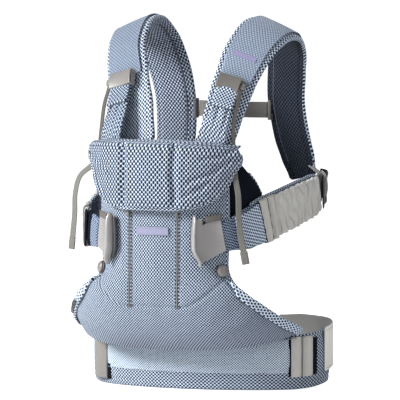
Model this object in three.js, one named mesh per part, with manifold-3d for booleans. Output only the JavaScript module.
// Soft structured baby carrier: padded front panel with a fold-down head support, ring-shaped waist
// belt, two padded shoulder straps joined across the back, buckles, strap adjusters, zips and snaps.
// Frame: millimetres, +Z up, the panel faces -Y and the wearer stands inside the belt ring, so +X is
// the wearer's left. The origin is in the middle of the belt's front lower edge. The parts are laid
// out about the centre of the belt ring, and the whole group is moved at the end.
import * as THREE from "three";
import { RoundedBoxGeometry } from "three/addons/geometries/RoundedBoxGeometry.js";
import { mergeVertices } from "three/addons/utils/BufferGeometryUtils.js";
import Module from "manifold-3d";

const wasm = await Module();
wasm.setup();
const { clamp, degToRad, lerp, smoothstep } = THREE.MathUtils;

// ---------- driving dimensions ----------
const BELT_A = 183; // half axes of the belt ring's mid surface, along X and Y
const BELT_B = 112;
const BELT_HEIGHT = 82;
const BELT_THICKNESS = 11;
const PANEL_THICKNESS = 7;
const LINING_THICKNESS = 4;
const LINING_GAP = 2;
const FLAP_THICKNESS = 9; // head support
const PAD_WIDTH = 76; // shoulder pad at its widest
const PAD_THICKNESS = 14;
const WEB_WIDTH = 11; // narrow webbing
const WEB_THICKNESS = 1.6;
const WIDE_WEB_THICKNESS = 1.8; // webbing of the waist buckle and the cross strap

const SIDES = [
  { letter: "L", sign: 1 },
  { letter: "R", sign: -1 },
];

// ---------- materials ----------
const GREY = 0x9b9893;
const DARK = 0x1d222b;
const LIGHT = 0xaaa7a2;
const material = (color, { roughness = 0.85 } = {}) =>
  new THREE.MeshStandardMaterial({ color, roughness, metalness: 0 });
const MATERIALS = {
  fabric: material(0x93a9c6),
  fineFabric: material(0x9fb3cf),
  webbing: material(GREY),
  band: material(0xa7a49d),
  lightFabric: material(LIGHT),
  darkFabric: material(DARK),
  label: material(0xb9b4d8),
  greyPlastic: material(GREY, { roughness: 0.45 }),
  buckleBase: material(GREY, { roughness: 0.5 }),
  zipSlider: material(GREY, { roughness: 0.4 }),
  darkPlastic: material(DARK, { roughness: 0.5 }),
  lightPlastic: material(LIGHT, { roughness: 0.45 }),
  smoothLightPlastic: material(LIGHT, { roughness: 0.42 }),
  keeperPlastic: material(LIGHT, { roughness: 0.6 }),
  release: material(0x7d756e, { roughness: 0.5 }),
};

// ---------- scene and geometry helpers ----------
const root = new THREE.Group();
const vec = (x, y, z) => new THREE.Vector3(x, y, z);
const spread = (from, to, count) =>
  Array.from({ length: count }, (_, i) => from + ((to - from) * i) / (count - 1));

function add(name, geometry, meshMaterial, group = root) {
  const mesh = new THREE.Mesh(geometry, meshMaterial);
  mesh.name = name;
  group.add(mesh);
}

// Group at a point, turned about Z so that its -Y axis follows the normal in plan.
function addFacingGroup(position, normal) {
  const group = new THREE.Group();
  group.position.copy(position);
  group.rotation.z = Math.atan2(normal.x, -normal.y);
  root.add(group);
  return group;
}

const block = (size, centre) => new THREE.BoxGeometry(...size).translate(...centre);
const roundedBlock = (size, centre, radius) =>
  new RoundedBoxGeometry(...size, 1, radius).translate(...centre);

// Closed geometry from points and triangles, all flipped if the signed volume is negative.
function solid(points, faces) {
  let volume = 0;
  for (const [a, b, c] of faces) {
    volume += points[a].dot(vec().crossVectors(points[b], points[c]));
  }
  const positions = new Float32Array(points.flatMap((point) => point.toArray()));
  const geometry = new THREE.BufferGeometry();
  geometry.setAttribute("position", new THREE.BufferAttribute(positions, 3));
  geometry.setIndex(faces.flatMap(([a, b, c]) => (volume < 0 ? [a, c, b] : [a, b, c])));
  geometry.computeVertexNormals();
  return geometry;
}

// Loft through rings of equal point count, closed by fan caps.
function loft(rings) {
  const size = rings[0].length;
  const end = (rings.length - 1) * size;
  const faces = [];
  for (let i = 0; i < rings.length - 1; i++) {
    for (let j = 0; j < size; j++) {
      const a = i * size + j;
      const b = i * size + ((j + 1) % size);
      faces.push([a, b, b + size], [a, b + size, a + size]);
    }
  }
  for (let j = 1; j < size - 1; j++) {
    faces.push([0, j + 1, j], [end, end + j, end + j + 1]);
  }
  return solid(rings.flat(), faces);
}

// Closed slab between two point grids of the same size.
function slab(first, second) {
  const rows = first.length;
  const columns = first[0].length;
  const other = rows * columns; // index of the second grid's first point
  const faces = [];
  for (let i = 0; i < rows - 1; i++) {
    for (let j = 0; j < columns - 1; j++) {
      const a = i * columns + j;
      const b = a + 1;
      const c = a + columns;
      const d = c + 1;
      faces.push([a, b, d], [a, d, c]);
      faces.push([other + a, other + d, other + b], [other + a, other + c, other + d]);
    }
  }
  const rim = [];
  for (let j = 0; j < columns; j++) rim.push(j);
  for (let i = 1; i < rows; i++) rim.push(i * columns + columns - 1);
  for (let j = columns - 2; j >= 0; j--) rim.push((rows - 1) * columns + j);
  for (let i = rows - 2; i >= 1; i--) rim.push(i * columns);
  rim.forEach((a, i) => {
    const b = rim[(i + 1) % rim.length];
    faces.push([a, other + a, b], [b, other + a, other + b]);
  });
  return solid([...first.flat(), ...second.flat()], faces);
}

// Smooth strap path on one side. Stations: point x, y, z; width direction x, y, z; width.
function strapFrames(stations, { sign }, count) {
  const points = stations.map(([x, y, z]) => vec(sign * x, y, z));
  const directions = stations.map(([, , , x, y, z]) => vec(sign * x, y, z));
  const curve = new THREE.CatmullRomCurve3(points, false, "centripetal");
  return spread(0, 1, count).map((u) => {
    const tangent = curve.getTangent(u);
    const place = u * (stations.length - 1);
    const from = Math.min(stations.length - 2, Math.floor(place));
    const blend = smoothstep(place - from, 0, 1);
    const across = directions[from].clone().lerp(directions[from + 1], blend);
    across.addScaledVector(tangent, -across.dot(tangent)).normalize();
    return {
      point: curve.getPoint(u),
      tangent,
      across,
      normal: vec().crossVectors(tangent, across).normalize(),
      width: lerp(stations[from][6], stations[from + 1][6], blend),
    };
  });
}

const slide = (frame, distance) => ({
  ...frame,
  point: frame.point.clone().addScaledVector(frame.tangent, distance),
});

// Band along frames, shifted by offset along their normals.
function band(frames, thickness, { offset = 0, widen = 0, chamfer = 0 } = {}) {
  const t = thickness / 2;
  const c = Math.min(chamfer, t * 0.7);
  return loft(frames.map(({ point, across, normal, width }) => {
    const h = (width + widen) / 2;
    const outline = chamfer
      ? [
        [-h, -t + c], [-h + c, -t], [h - c, -t], [h, -t + c],
        [h, t - c], [h - c, t], [-h + c, t], [-h, t - c],
      ]
      : [[-h, -t], [h, -t], [h, t], [-h, t]];
    return outline.map(([sideways, out]) =>
      point.clone().addScaledVector(across, sideways).addScaledVector(normal, out + offset));
  }));
}

// Upright sheet on one side. Rows: x, y, lowest z, highest z.
function wall(rows, thickness, { sign }) {
  const at = (i) => vec(sign * rows[i][0], rows[i][1], 0);
  return loft(rows.map(([, , low, high], i) => {
    const along = at(Math.min(rows.length - 1, i + 1)).sub(at(Math.max(0, i - 1)));
    const half = vec(along.y, -along.x, 0).setLength(thickness / 2);
    const near = at(i).sub(half);
    const far = at(i).add(half);
    return [[near, low], [far, low], [far, high], [near, high]].map(([p, z]) => vec(p.x, p.y, z));
  }));
}

// ---------- boolean helpers ----------
function toManifold(geometry) {
  const bare = geometry.clone();
  bare.deleteAttribute("normal");
  bare.deleteAttribute("uv");
  const merged = mergeVertices(bare, 1e-3);
  return new wasm.Manifold(new wasm.Mesh({
    numProp: 3,
    vertProperties: merged.attributes.position.array,
    triVerts: new Uint32Array(merged.index.array),
  }));
}

function fromManifold(manifold) {
  const mesh = manifold.getMesh();
  const positions = new Float32Array(mesh.vertProperties);
  const geometry = new THREE.BufferGeometry();
  geometry.setAttribute("position", new THREE.BufferAttribute(positions, 3));
  geometry.setIndex(new THREE.BufferAttribute(new Uint32Array(mesh.triVerts), 1));
  geometry.computeVertexNormals();
  return geometry;
}

const cut = (body, ...tools) =>
  fromManifold(tools.reduce((rest, tool) => rest.subtract(toManifold(tool)), toManifold(body)));
const join = (a, b) => fromManifold(toManifold(a).add(toManifold(b)));

// ---------- front panel surface ----------
// Rows from the top edge to the seat's lower edge:
// centre y, z; edge x, y, z; direction in plan at the edge x, y.
const PANEL_ROWS = [
  [-209, 379, 97, -171, 373, 0.66, 0.75],
  [-209, 350, 101, -169, 348, 0.62, 0.78],
  [-209, 290, 104, -167, 290, 0.614, 0.788],
  [-209, 230, 104, -167, 230, 0.614, 0.788],
  [-209, 180, 104, -167, 182, 0.62, 0.78],
  [-209, 152, 128, -172, 154, 0.80, 0.60],
  [-208, 127, 153, -151, 130, 0.72, 0.69],
  [-203, 104, 171, -117, 108, 0.5, 0.86],
  [-192, 84, 178, -84, 96, 0.28, 0.96],
  [-172, 66, 176, -64, 91, 0.1, 0.99],
];
const LAST_ROW = PANEL_ROWS.length - 1;

// Each half row is a cubic Bezier in plan; s runs from -1 at the -X edge to 1 at the +X edge.
function rowPoint([centreY, centreZ, edgeX, edgeY, edgeZ, directionX, directionY], s) {
  const a = Math.abs(s);
  const m = 1 - a;
  const handle = 0.33 * Math.hypot(edgeX, edgeY - centreY);
  const bezier = (p0, p1, p2, p3) =>
    m * m * m * p0 + 3 * m * m * a * p1 + 3 * m * a * a * p2 + a * a * a * p3;
  const x = bezier(0, 0.5 * edgeX, edgeX - directionX * handle, edgeX);
  const y = bezier(centreY, centreY, edgeY - directionY * handle, edgeY);
  return vec(Math.sign(s) * x, y, centreZ + (edgeZ - centreZ) * a * a);
}

// Surface point at a fractional row, by Catmull-Rom interpolation between rows.
function panelPoint(s, row) {
  const place = clamp(row, 0, LAST_ROW);
  const i = Math.min(LAST_ROW - 1, Math.floor(place));
  const t = place - i;
  const [a, b, c, d] = [i - 1, i, i + 1, i + 2].map((k) =>
    rowPoint(PANEL_ROWS[clamp(k, 0, LAST_ROW)], s));
  const blend = (k) => 0.5 * (2 * b[k] + (c[k] - a[k]) * t
    + (2 * a[k] - 5 * b[k] + 4 * c[k] - d[k]) * t * t
    + (3 * b[k] - a[k] - 3 * c[k] + d[k]) * t * t * t);
  return vec(blend("x"), blend("y"), blend("z"));
}

function panelNormal(s, row) {
  const step = 0.01;
  const alongS = panelPoint(Math.min(1, s + step), row)
    .sub(panelPoint(Math.max(-1, s - step), row));
  const alongRows = panelPoint(s, Math.min(LAST_ROW, row + step))
    .sub(panelPoint(s, Math.max(0, row - step)));
  const normal = vec().crossVectors(alongRows, alongS).normalize();
  return normal.y > 0.3 ? normal.negate() : normal;
}

const panelOffset = (s, row, distance) =>
  panelPoint(s, row).addScaledVector(panelNormal(s, row), distance);

// The parameter s at which a row reaches the given x, by bisection.
function panelS(x, row) {
  let low = 0;
  let high = 1;
  for (let i = 0; i < 40; i++) {
    const middle = (low + high) / 2;
    if (panelPoint(middle, row).x < Math.abs(x)) low = middle;
    else high = middle;
  }
  return Math.sign(x) * low;
}

// Sheet following the panel between two distances from it; sValuesAt(row) lists s across a row.
const panelSheet = (rows, sValuesAt, ...distances) =>
  slab(...distances.map((distance) =>
    rows.map((row) => sValuesAt(row).map((s) => panelOffset(s, row, distance)))));

// ---------- front panel and lining ----------
const SHELL_ROWS = [0, 0.5, 1, 2, 3, 4, 4.5, 5, 5.5, 6, 6.5, 7, 7.5, 8, 8.5, 9];
const LINING_ROWS = [0.15, 1, 2, 3, 4, 4.5, 5, 5.5, 6, 6.5, 7, 7.4, 7.8, 8.2];
const LINING_EDGE = 0.9; // s at the lining's side edges

function addPanel() {
  const shell = panelSheet(SHELL_ROWS, () => spread(-1, 1, 17), 0, -PANEL_THICKNESS);
  add("front_panel", shell, MATERIALS.fabric);
  const front = -PANEL_THICKNESS - LINING_GAP;
  const acrossLining = () => spread(-LINING_EDGE, LINING_EDGE, 17);
  const lining = panelSheet(LINING_ROWS, acrossLining, front, front - LINING_THICKNESS);
  add("panel_lining", lining, MATERIALS.fabric);
}

// ---------- zips, label and care tag ----------
const ZIP_X = 39;
const ZIP_HALF_WIDTH = 3.6;
const ZIP_ROWS = [1.95, 2.5, 3, 3.5, 4, 4.5, 5, 5.5, 5.9];
const ZIP_SLIDER = { row: 2.1, size: [8, 3.4, 11], radius: 1, distance: 4.7 };
const LABEL_HALF_WIDTH = 27;

function addZip({ letter, sign }) {
  const xs = spread(ZIP_X - ZIP_HALF_WIDTH, ZIP_X + ZIP_HALF_WIDTH, 3);
  const acrossTape = (row) => xs.map((x) => panelS(sign * x, row));
  add(`zip_tape_${letter}`, panelSheet(ZIP_ROWS, acrossTape, 0.5, 1.7), MATERIALS.webbing);

  const { row, size, radius, distance } = ZIP_SLIDER;
  const s = panelS(sign * ZIP_X, row);
  const group = addFacingGroup(panelOffset(s, row, distance), panelNormal(s, row));
  add(`zip_slider_${letter}`, roundedBlock(size, [0, 0, 0], radius), MATERIALS.zipSlider, group);
}

function addLabels() {
  const xs = spread(-LABEL_HALF_WIDTH, LABEL_HALF_WIDTH, 5);
  const acrossLabel = (row) => xs.map((x) => panelS(x, row));
  add("front_label", panelSheet([2.66, 2.88], acrossLabel, 0.5, 1.4), MATERIALS.label);
  // The care tag lies by the panel's -X edge.
  const tag = panelSheet([5.9, 6.2, 6.5, 6.75], () => [-0.985, -0.93], 1.5, 2.6);
  add("care_tag", tag, MATERIALS.darkFabric);
}

// ---------- head support, folded down over the panel ----------
// Rows from the fold to the lower edge: z, half width, edge y, centre y.
const FLAP_ROWS = [
  [380, 109, -181, -221], [368, 122, -168, -224], [352, 124, -164, -225], [334, 114, -172, -226],
  [316, 108, -179, -226], [300, 96, -189, -225], [286, 72, -209, -225.5], [277, 44, -220, -225],
];
const FLAP_POWER = 2.3; // how late the flap curves back towards its edges
const FLAP_DROOP = 4; // drop of the edges, on all rows but the lowest two
const FLAP_LEVEL_ROWS = 2;

function flapPoint(s, i, distance) {
  const [z, halfWidth, edgeY, centreY] = FLAP_ROWS[i];
  const a = Math.abs(s);
  const depth = edgeY - centreY;
  const slope = (FLAP_POWER * depth * Math.pow(a, FLAP_POWER - 1)) / halfWidth;
  const droop = i < FLAP_ROWS.length - FLAP_LEVEL_ROWS ? FLAP_DROOP : 0;
  return vec(s * halfWidth, centreY + depth * Math.pow(a, FLAP_POWER), z - droop * a * a)
    .addScaledVector(vec(Math.sign(s) * slope, -1, 0).normalize(), distance);
}

function addHeadSupport() {
  const [front, back] = [FLAP_THICKNESS / 2, -FLAP_THICKNESS / 2].map((distance) =>
    FLAP_ROWS.map((_, i) => spread(-1, 1, 15).map((s) => flapPoint(s, i, distance))));
  add("head_support", slab(front, back), MATERIALS.fabric);
}

// ---------- waist belt ring ----------
const BELT_RISE = 30; // the belt rises towards the back
const RISE_START = 0.95; // angle where the rise begins, radians from the front
const LAYER_OFFSET = BELT_THICKNESS / 2 + 3.2; // middle of the layers over and under the pad
// Belt keepers: side, number, angle from the front, half angle, in degrees.
const BELT_KEEPERS = [["L", 1, 61.5, 2.6], ["L", 2, 69, 3.4], ["R", 1, 52, 6.5]];

// Point outside the mid surface by out; angles run from the front, positive towards +X.
function beltPoint(angle, out, z) {
  const sin = Math.sin(angle);
  const cos = Math.cos(angle);
  const rise = BELT_RISE * smoothstep(Math.abs(angle), RISE_START, Math.PI);
  return vec(BELT_A * sin, -BELT_B * cos, z + rise)
    .addScaledVector(vec(sin / BELT_A, -cos / BELT_B, 0).normalize(), out);
}

function beltBand({ from, to, count, offset = 0, thickness, bottom, top, chamfer: c = 0 }) {
  const inner = offset - thickness / 2;
  const outer = offset + thickness / 2;
  const outline = c
    ? [
      [inner + c, bottom], [outer - c, bottom], [outer, bottom + c], [outer, top - c],
      [outer - c, top], [inner + c, top], [inner, top - c], [inner, bottom + c],
    ]
    : [[inner, bottom], [outer, bottom], [outer, top], [inner, top]];
  return loft(spread(degToRad(from), degToRad(to), count).map((angle) =>
    outline.map(([out, z]) => beltPoint(angle, out, z))));
}

function addBelt() {
  add("waist_belt", beltBand({
    from: -97, to: 97, count: 29, thickness: BELT_THICKNESS,
    bottom: 0, top: BELT_HEIGHT, chamfer: 2.5,
  }), MATERIALS.fabric);
  add("belt_lining", beltBand({
    from: -88, to: 88, count: 21, offset: -LAYER_OFFSET, thickness: 3,
    bottom: 6, top: BELT_HEIGHT - 6,
  }), MATERIALS.fabric);
  for (const [letter, number, angle, half] of BELT_KEEPERS) {
    const sign = letter === "L" ? 1 : -1;
    add(`belt_keeper_${letter}${number}`, beltBand({
      from: sign * (angle - half), to: sign * (angle + half), count: 5,
      offset: LAYER_OFFSET, thickness: 4.4, bottom: 3, top: BELT_HEIGHT - 3, chamfer: 1,
    }), MATERIALS.lightFabric);
  }
  // Rear bands overlap the pad's ends on the outside and run towards the buckle.
  for (const { letter, sign } of SIDES) {
    add(`rear_band_${letter}`, beltBand({
      from: sign * 86, to: sign * 159, count: 13,
      offset: LAYER_OFFSET, thickness: 3, bottom: 9, top: 75,
    }), MATERIALS.band);
  }
}

// ---------- waist buckle behind the wearer ----------
const BUCKLE_Y = BELT_B + 2.5;
const BUCKLE_Z = 70;
const BUCKLE_WEB_Y = BUCKLE_Y + 1.2; // webbing on the +X side, and its slot

function addWaistBuckle() {
  const webR = block([36, WIDE_WEB_THICKNESS, 25], [-47, BUCKLE_Y, BUCKLE_Z]);
  add("buckle_webbing_R", webR, MATERIALS.webbing);
  const webL = block([47, WIDE_WEB_THICKNESS, 25], [46.5, BUCKLE_WEB_Y, BUCKLE_Z]);
  add("buckle_webbing_L", webL, MATERIALS.webbing);

  // Hollow housing, open towards +X, with a window for the button in its rear face.
  const housing = roundedBlock([46, 13, 40], [-5, BUCKLE_Y, BUCKLE_Z], 2.5);
  const cavity = block([34, 7, 30], [3, BUCKLE_Y, BUCKLE_Z]);
  const window = block([14, 10, 14], [-3, BUCKLE_Y + 7, BUCKLE_Z]);
  add("waist_receiver", cut(housing, cavity, window), MATERIALS.greyPlastic);

  // Male half: a tongue inside the housing, and a body with a slot for the +X webbing.
  const body = roundedBlock([20, 10, 40], [29.5, BUCKLE_Y, BUCKLE_Z], 2);
  const tongue = block([22, 4, 26], [9.5, BUCKLE_Y - 0.6, BUCKLE_Z]);
  const slot = block([26, 3.4, 27], [35, BUCKLE_WEB_Y, BUCKLE_Z]);
  add("waist_male", cut(join(body, tongue), slot), MATERIALS.greyPlastic);

  const button = roundedBlock([12.6, 5, 12.6], [-3, BUCKLE_Y + 6.7, BUCKLE_Z], 1);
  add("waist_button", button, MATERIALS.lightPlastic);
}

// ---------- shoulder straps ----------
// All strap tables are for the +X side: point x, y, z; width direction x, y, z; width.
// Shoulder pad: chest end, over the shoulder, down the back.
const PAD_STATIONS = [
  [80, -160, 368, 1, 0.55, -0.1, 52],
  [83, -141, 410, 1, 0.42, -0.18, 58],
  [90, -115, 460, 1, 0.3, -0.25, 64],
  [100, -88, 504, 1, 0.2, -0.33, 72],
  [109, -49, 533, 1, 0.1, -0.4, PAD_WIDTH],
  [112, -5, 536, 1, 0, -0.42, PAD_WIDTH],
  [107, 34, 514, 1, -0.08, -0.35, 70],
  [98, 57, 474, 1, -0.12, -0.2, 66],
  [92, 68, 425, 1, -0.12, -0.08, 64],
  [97, 80, 370, 1, -0.15, 0.05, 62],
  [112, 88, 322, 0.95, -0.2, 0.25, 58],
];
// Front strap: from the panel's top corner up to the adjuster, in front of the pad.
const FRONT_STRAP_STATIONS = [
  [80, -190, 382, 1, 0.5, 0, 44],
  [82, -181, 401, 1, 0.42, -0.05, 44],
  [85.5, -164, 424, 1, 0.3, -0.2, 41],
  [90, -141, 449, 1, 0.22, -0.3, 37],
];
const ADJUSTER_STATIONS = [
  [90, -141.5, 449, 1, 0.22, -0.3, 43],
  [92, -134.5, 462.5, 1, 0.22, -0.3, 43],
  [94, -127, 475, 1, 0.22, -0.3, 43],
];
// Narrow webbing: from beside the adjuster down behind the head support.
const WEBBING_STATIONS = [
  [118.5, -128, 450, 1, 0.6, -0.2, WEB_WIDTH],
  [114, -141, 425, 1, 0.6, -0.1, WEB_WIDTH],
  [112.5, -149, 396, 1, 0.7, 0, WEB_WIDTH],
  [116, -151.5, 362, 1, 0.8, 0, WEB_WIDTH],
  [121, -156, 341, 1, 0.6, 0, WEB_WIDTH],
];
// Free tails: they hang differently on the two sides.
const TAIL_STATIONS = {
  L: [
    [122.5, -163, 332, 1, 0.3, 0, WEB_WIDTH],
    [128, -169, 312, 1, 0.3, 0, WEB_WIDTH],
    [128, -172, 285, 1, 0.3, 0, WEB_WIDTH],
    [128, -171, 245, 1, 0.35, 0, WEB_WIDTH],
    [131, -168, 212, 1, 0.4, 0, WEB_WIDTH],
  ],
  R: [
    [124, -161, 334, 1, 0.3, 0, WEB_WIDTH],
    [142, -163, 318, 1, 0.5, 0, WEB_WIDTH],
    [149, -165, 292, 1, 0.5, 0, WEB_WIDTH],
    [149.5, -166, 262, 1, 0.4, 0, WEB_WIDTH],
    [153, -166, 226, 1, 0.3, 0, WEB_WIDTH],
  ],
};

function addShoulderPad(side) {
  const frames = strapFrames(PAD_STATIONS, side, 27);
  const up = frames[8].normal.z > 0 ? 1 : -1; // the normals flip between the sides
  const pad = band(frames, PAD_THICKNESS, { chamfer: 4 });
  add(`shoulder_pad_${side.letter}`, pad, MATERIALS.fabric);
  const offset = up * (PAD_THICKNESS / 2 + 2.2);
  const cover = band(frames.slice(7, 19), 1.8, { offset, widen: -16 });
  add(`shoulder_cover_${side.letter}`, cover, MATERIALS.fineFabric);
}

function addFrontStrap(side) {
  const strap = band(strapFrames(FRONT_STRAP_STATIONS, side, 8), 5, { chamfer: 1.5 });
  add(`front_strap_${side.letter}`, strap, MATERIALS.fabric);

  // Adjuster: a sleeve open at the strap's end and closed at its upper end.
  const frames = strapFrames(ADJUSTER_STATIONS, side, 3);
  const sleeve = band(frames.map((frame) => slide(frame, 3.5)), 11, { chamfer: 2 });
  const pocketFrames = frames.map((frame, i) => slide(frame, (i - 1) * 4 - 7));
  const pocket = band(pocketFrames, 6.4, { widen: -5 });
  add(`adjuster_${side.letter}`, cut(sleeve, pocket), MATERIALS.greyPlastic);
}

function addAdjusterWebbing(side) {
  const webbing = band(strapFrames(WEBBING_STATIONS, side, 9), WEB_THICKNESS);
  add(`adjuster_webbing_${side.letter}`, webbing, MATERIALS.webbing);
  const tail = strapFrames(TAIL_STATIONS[side.letter], side, 11);
  add(`strap_tail_${side.letter}`, band(tail, WEB_THICKNESS), MATERIALS.webbing);
  // The thick end of the tail, 16 long, starts just past the webbing.
  const end = [0.6, 16.6].map((distance) => slide(tail.at(-1), distance));
  add(`tail_end_${side.letter}`, band(end, 3.4, { widen: 0.6 }), MATERIALS.webbing);
}

// ---------- straps under the arm ----------
const REAR_SLIDER_STATIONS = [
  [119.8, 92.5, 308.5, 0.95, -0.2, 0.25, 52],
  [131, 93.5, 300, 0.8, -0.25, 0.5, 52],
];
// Underarm strap from the back to the front; its front end differs by side.
const UNDERARM_STATIONS = [
  [141, 84, 290, -0.05, 0, 1, 50],
  [149, 60, 285, 0, 0, 1, 54],
  [151, 20, 280, 0, 0, 1, 56],
  [148, -22, 273, 0, 0, 1, 58],
  [142, -64, 264, 0, 0, 1, 60],
  [133, -104, 254, 0, 0, 1, 60],
];
const UNDERARM_FRONT_ENDS = {
  L: [[123, -136, 243, 0, 0, 1, 60], [117, -149, 240, 0, 0, 1, 58]],
  R: [[131, -136, 243, 0, 0, 1, 60], [126, -149, 240, 0, 0, 1, 58]],
};
// Upright sheets: x, y, lowest z, highest z.
const ELASTIC_ROWS = [
  [136, 102, 281, 322], [144.5, 96, 272, 317], [150, 79.5, 267, 313], [160, 66.5, 264, 310],
];
const WING_ROWS = [
  [118, -128, 279, 301], [113, -135, 276, 328], [106, -143, 273, 351], [99, -147, 274, 358],
];

function addUnderarm(side) {
  const { letter, sign } = side;
  // Slider at the shoulder pad's lower rear end.
  const slider = band(strapFrames(REAR_SLIDER_STATIONS, side, 2), 6, { chamfer: 1.5 });
  add(`rear_slider_${letter}`, slider, MATERIALS.lightPlastic);
  add(`elastic_band_${letter}`, wall(ELASTIC_ROWS, 2, side), MATERIALS.darkFabric);

  const stations = [...UNDERARM_STATIONS, ...UNDERARM_FRONT_ENDS[letter]];
  const frames = strapFrames(stations, side, 21);
  const outward = frames[8].normal.x * sign > 0 ? 1 : -1;
  add(`underarm_strap_${letter}`, band(frames, 8, { chamfer: 2.5 }), MATERIALS.fabric);
  const sleeve = band(frames.slice(3, 14), 3.4, { offset: outward * 6.6, widen: -7 });
  add(`ruched_sleeve_${letter}`, sleeve, MATERIALS.band);
  const keeperShape = { offset: outward * 7.2, widen: 2, chamfer: 1.2 };
  const keeper = band(frames.slice(14, 16), 4.6, keeperShape);
  add(`sleeve_keeper_${letter}`, keeper, MATERIALS.keeperPlastic);
  // Dark upright web behind the panel's side edge.
  add(`side_wing_${letter}`, wall(WING_ROWS, 4, side), MATERIALS.darkFabric);
}

// ---------- cross strap over the back ----------
const CROSS_Y = 70;
const CROSS_Z = 410;
const CROSS_LOOP_X = 54;

function addCrossLoop({ letter, sign }) {
  const loop = block([5, 12, 30], [sign * CROSS_LOOP_X, CROSS_Y, CROSS_Z]);
  add(`cross_loop_${letter}`, loop, MATERIALS.darkPlastic);
}

function addCrossStrap() {
  const strap = block([101, WIDE_WEB_THICKNESS, 24], [0, CROSS_Y, CROSS_Z]);
  add("cross_strap", strap, MATERIALS.webbing);
}

// ---------- side buckles and snaps on the panel's flanks ----------
const SIDE_BUCKLE = { s: 0.79, row: 3, z: 231, radius: 110, releaseX: 2 };
const SNAP = { s: 0.9, row: 3.95, segments: 20 };
// Snap cap profile: radius, height above the panel.
const SNAP_CAP = [[0, 5.1], [8.4, 5.1], [8.8, 6.3], [7.2, 8.1], [4, 9.1], [0, 9.5]];

// Curved plate in the buckle's frame; from and to are arc lengths, positive away from the middle.
function flankPlate({ sign }, { thickness, from, to, bottom, top, y, count = 7 }) {
  const { radius } = SIDE_BUCKLE;
  return loft(spread(from, to, count).map((arcLength) => {
    const sin = Math.sin(arcLength / radius);
    const cos = Math.cos(arcLength / radius);
    const at = (out, z) =>
      vec(sign * sin * (radius + out), (1 - cos) * radius - cos * out + y, z);
    return [at(0, bottom), at(thickness, bottom), at(thickness, top), at(0, top)];
  }));
}

function addSideBuckle(side) {
  const { letter, sign } = side;
  const { s, row, z, releaseX } = SIDE_BUCKLE;
  const centre = panelPoint(sign * s, row).setZ(z);
  const group = addFacingGroup(centre, panelNormal(sign * s, row));
  const base = flankPlate(side, {
    thickness: 3, from: -25, to: 16, bottom: -33, top: 33, y: -2,
  });
  add(`buckle_base_${letter}`, base, MATERIALS.buckleBase, group);

  // Plate with a thick rib on its edge nearer the middle and a notch in its top edge.
  const plate = flankPlate(side, {
    thickness: 3.4, from: -29, to: 22, bottom: -34, top: 31, y: -6.2, count: 9,
  });
  const rib = flankPlate(side, {
    thickness: 8, from: -30, to: -24, bottom: -34.5, top: 33, y: -6.2, count: 3,
  });
  const notch = block([20, 26, 18], [sign * releaseX, -4, 29]);
  const tongue = cut(join(plate, rib), notch);
  add(`buckle_tongue_${letter}`, tongue, MATERIALS.smoothLightPlastic, group);
  const release = roundedBlock([17, 5, 9], [sign * releaseX, -8.4, 30.4], 1);
  add(`buckle_release_${letter}`, release, MATERIALS.release, group);
}

// Snap below the buckle: cap outside, socket between cap and panel.
function addSnap({ letter, sign }) {
  const s = sign * SNAP.s;
  const group = new THREE.Group();
  group.position.copy(panelPoint(s, SNAP.row));
  group.quaternion.setFromUnitVectors(vec(0, 1, 0), panelNormal(s, SNAP.row));
  root.add(group);
  const socket = new THREE.CylinderGeometry(7.5, 8, 2, SNAP.segments).translate(0, 3.7, 0);
  add(`snap_socket_${letter}`, socket, MATERIALS.darkPlastic, group);
  const profile = SNAP_CAP.map(([x, y]) => new THREE.Vector2(x, y));
  const cap = new THREE.LatheGeometry(profile, SNAP.segments);
  add(`snap_cap_${letter}`, cap, MATERIALS.smoothLightPlastic, group);
}

// ---------- assembly ----------
addPanel();
SIDES.forEach(addZip);
addLabels();
addHeadSupport();
addBelt();
addWaistBuckle();
for (const side of SIDES) {
  addShoulderPad(side);
  addFrontStrap(side);
  addAdjusterWebbing(side);
  addUnderarm(side);
  addCrossLoop(side);
  addSideBuckle(side);
  addSnap(side);
}
addCrossStrap();

// Move the origin from the ring's centre to the belt's front.
root.position.y = BELT_B;

export default root;
